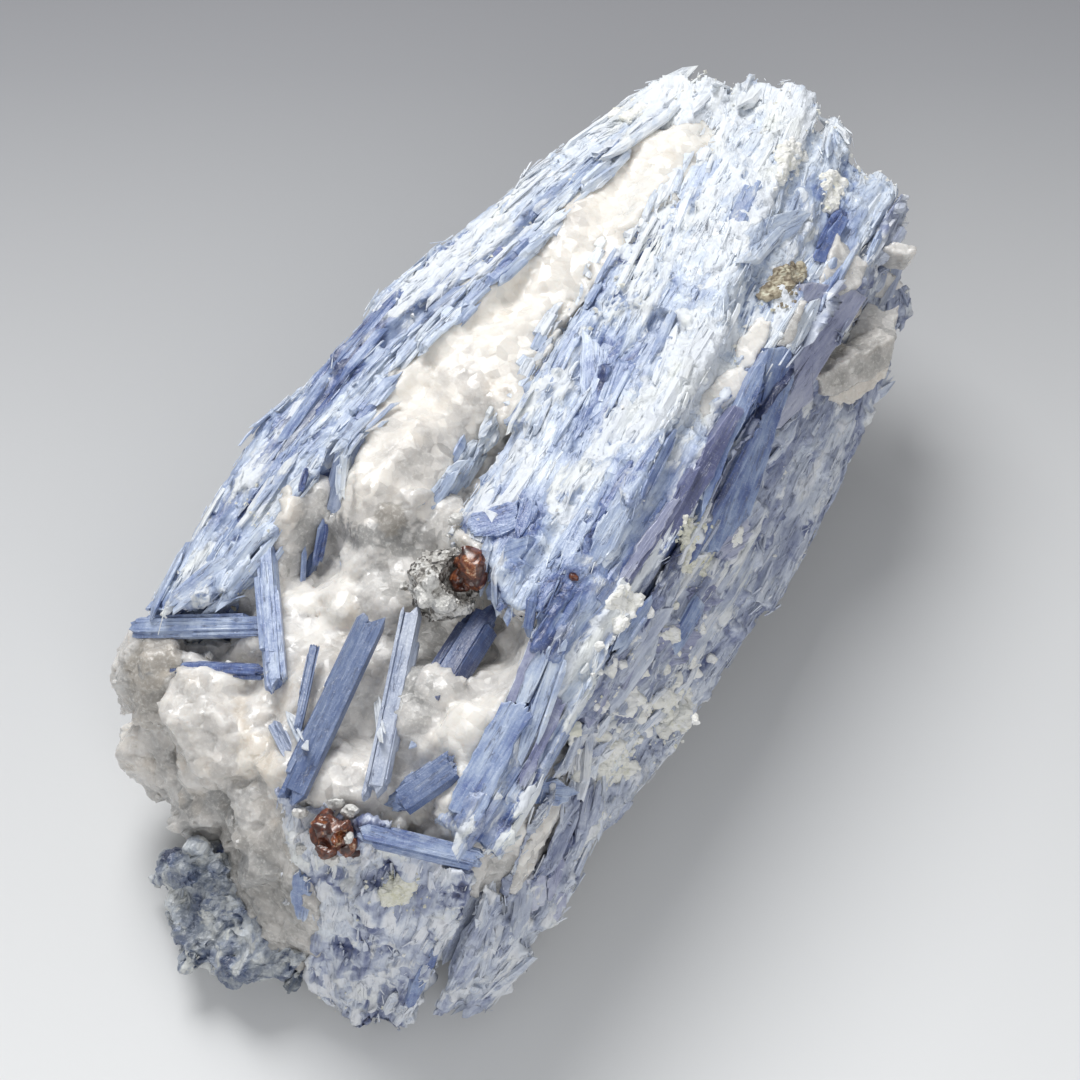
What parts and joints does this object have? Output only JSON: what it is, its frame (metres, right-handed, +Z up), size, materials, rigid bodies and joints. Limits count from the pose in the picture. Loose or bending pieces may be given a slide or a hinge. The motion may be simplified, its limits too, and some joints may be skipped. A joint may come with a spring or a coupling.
{
  "type": "kyanite blade cluster",
  "caption": "Hand-size cluster of flat kyanite blades in curved sheaves, grown in massive milky quartz with small garnets, lying on its broken back.",
  "frame": {"origin": "middle of the bounding box's bottom, in the plane of the flat patches that the quartz rests on", "axes": "+Z up, away from the broken back that the cluster lies on; +Y along the blades, from the fan's end to the ragged upper end; +X towards the right sheaf's flank"},
  "size_m": [0.0556, 0.1146, 0.0394],
  "materials": {
    "milky_quartz": "broken, sugary and slightly translucent",
    "pale_kyanite": "striated blades, silky, whitened on their faces",
    "deep_kyanite": "striated blades, glassy on their cleavage faces",
    "garnet": "glassy, fractured",
    "mica_rind": "scaly, speckled"
  },
  "bodies": {
    "root": {"quartz_matrix": "milky_quartz", "left_sheaf": "pale_kyanite", "main_sheaf": "pale_kyanite", "right_sheaf": "deep_kyanite", "front_fan": "pale_kyanite", "low_nest": "deep_kyanite", "long_blade": "deep_kyanite", "pale_blade": "pale_kyanite", "thin_blade": "deep_kyanite", "curved_blade": "deep_kyanite", "stub_blade": "pale_kyanite", "dark_blade": "deep_kyanite", "end_blade": "deep_kyanite", "ledge_blade": "pale_kyanite", "cross_blade": "deep_kyanite", "ridge_blade": "deep_kyanite", "short_blade": "pale_kyanite", "pocket_blade": "deep_kyanite", "front_garnet": "garnet", "upper_garnet": "garnet", "small_garnet": "garnet", "mica_rind": "mica_rind"}
  },
  "joints": []
}
